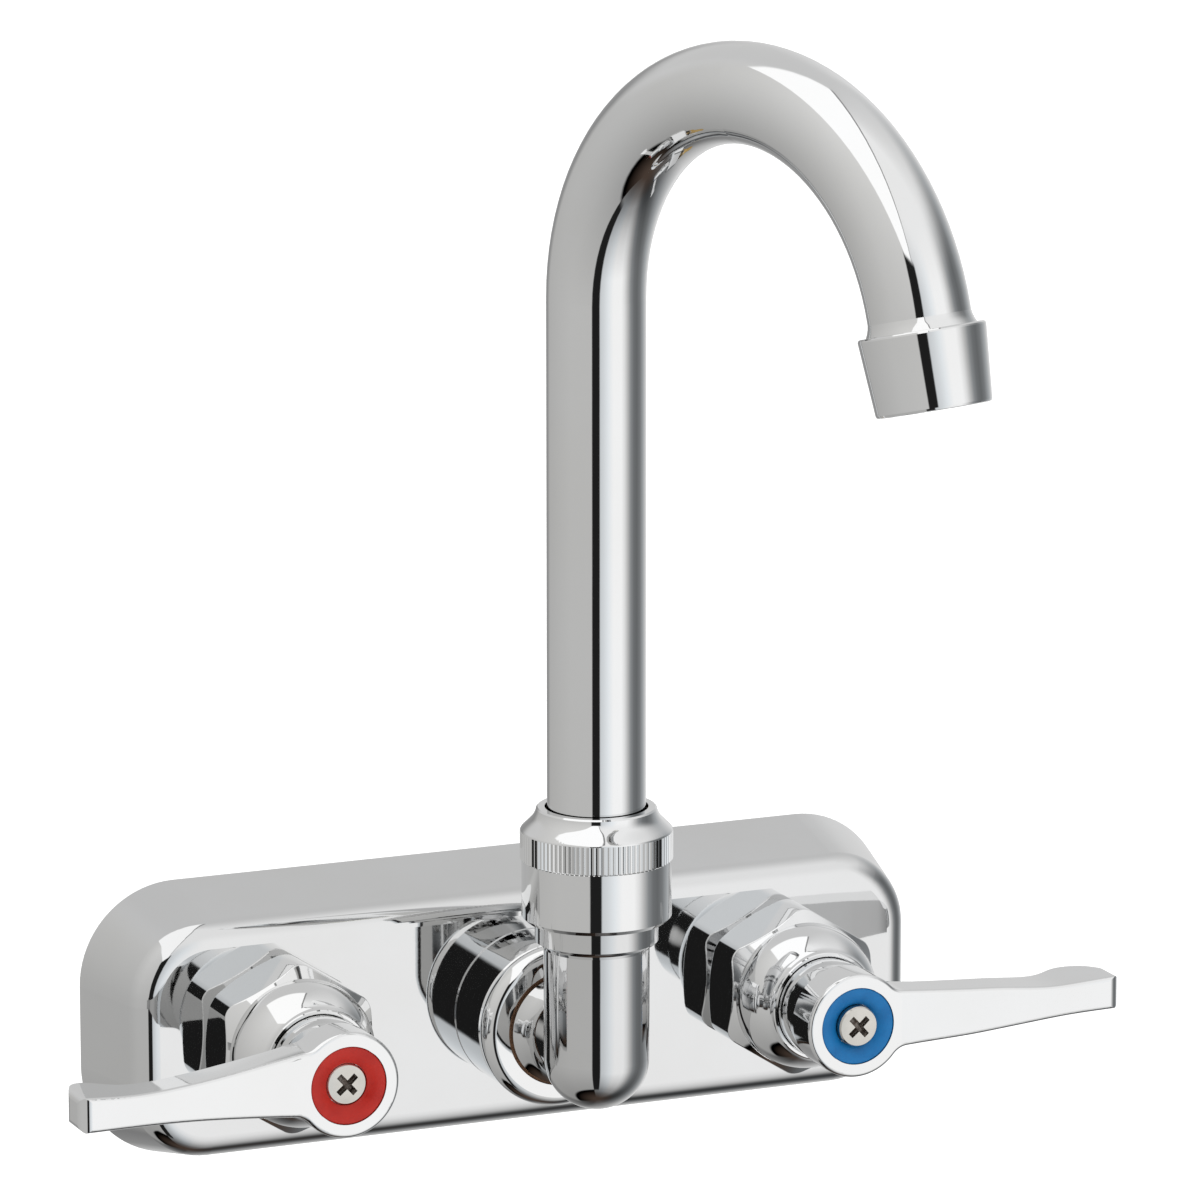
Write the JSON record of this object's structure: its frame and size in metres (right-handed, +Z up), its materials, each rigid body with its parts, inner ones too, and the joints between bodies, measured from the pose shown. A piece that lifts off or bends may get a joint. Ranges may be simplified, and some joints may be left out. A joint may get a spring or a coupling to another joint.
{
  "type": "wall-mount two-handle sink faucet",
  "caption": "Chrome wall-mount sink faucet: rounded box body on inlet shanks, lever valves with red and blue index rings, and a swinging gooseneck spout with an aerator.",
  "frame": {"origin": "on the wall face, midway between the two inlets at valve height", "axes": "+X to the right seen from the front, +Y into the wall, +Z up"},
  "size_m": [0.207, 0.1876, 0.2182],
  "materials": {
    "chrome": "polished chrome plate on brass",
    "brass": "bare machined brass",
    "steel": "plain stainless steel",
    "red_index": "glossy red plastic",
    "blue_index": "glossy blue plastic",
    "rubber": "black sealing rubber",
    "fibre": "brown fibre gasket",
    "nylon": "natural nylon",
    "ceramic": "polished alumina ceramic"
  },
  "bodies": {
    "body": {"body_casting": "chrome", "wall_gasket": "rubber", "hot_inlet_shank": "brass", "cold_inlet_shank": "brass", "shank_washers": "steel", "shank_locknuts": "brass", "hot_bonnet_nut": "chrome", "hot_bonnet": "chrome", "hot_cartridge_body": "brass", "hot_fixed_disc": "ceramic", "hot_seat_seal": "rubber", "cold_bonnet_nut": "chrome", "cold_bonnet": "chrome", "cold_cartridge_body": "brass", "cold_fixed_disc": "ceramic", "cold_seat_seal": "rubber", "spout_union_nut": "chrome", "union_friction_ring": "fibre", "spout_union_gasket": "fibre", "spout_elbow": "chrome", "swivel_housing": "chrome", "spout_nut": "chrome", "thrust_washer": "nylon"},
    "hot_lever": {"hot_handle": "chrome", "hot_index_ring": "red_index", "hot_handle_screw": "steel", "hot_stem": "brass", "hot_stem_oring": "rubber", "hot_turning_disc": "ceramic"},
    "cold_lever": {"cold_handle": "chrome", "cold_index_ring": "blue_index", "cold_handle_screw": "steel", "cold_stem": "brass", "cold_stem_oring": "rubber", "cold_turning_disc": "ceramic"},
    "spout": {"spout_tube": "chrome", "spout_spigot": "brass", "spout_orings": "rubber", "aerator_housing": "chrome", "aerator_washer": "rubber", "aerator_insert": "nylon"}
  },
  "joints": [
    {"name": "hot_lever_turn", "type": "hinge", "parent": "body", "child": "hot_lever", "pos_m": [-0.0508, -0.05, 0], "axis": [0, -1, 0], "range_deg": [0, 90]},
    {"name": "cold_lever_turn", "type": "hinge", "parent": "body", "child": "cold_lever", "pos_m": [0.0508, -0.05, 0], "axis": [0, 1, 0], "range_deg": [0, 90]},
    {"name": "spout_swivel", "type": "hinge", "parent": "body", "child": "spout", "pos_m": [0, -0.0533, 0.035], "axis": [0, 0, 1], "range_deg": [-128, 92]}
  ]
}
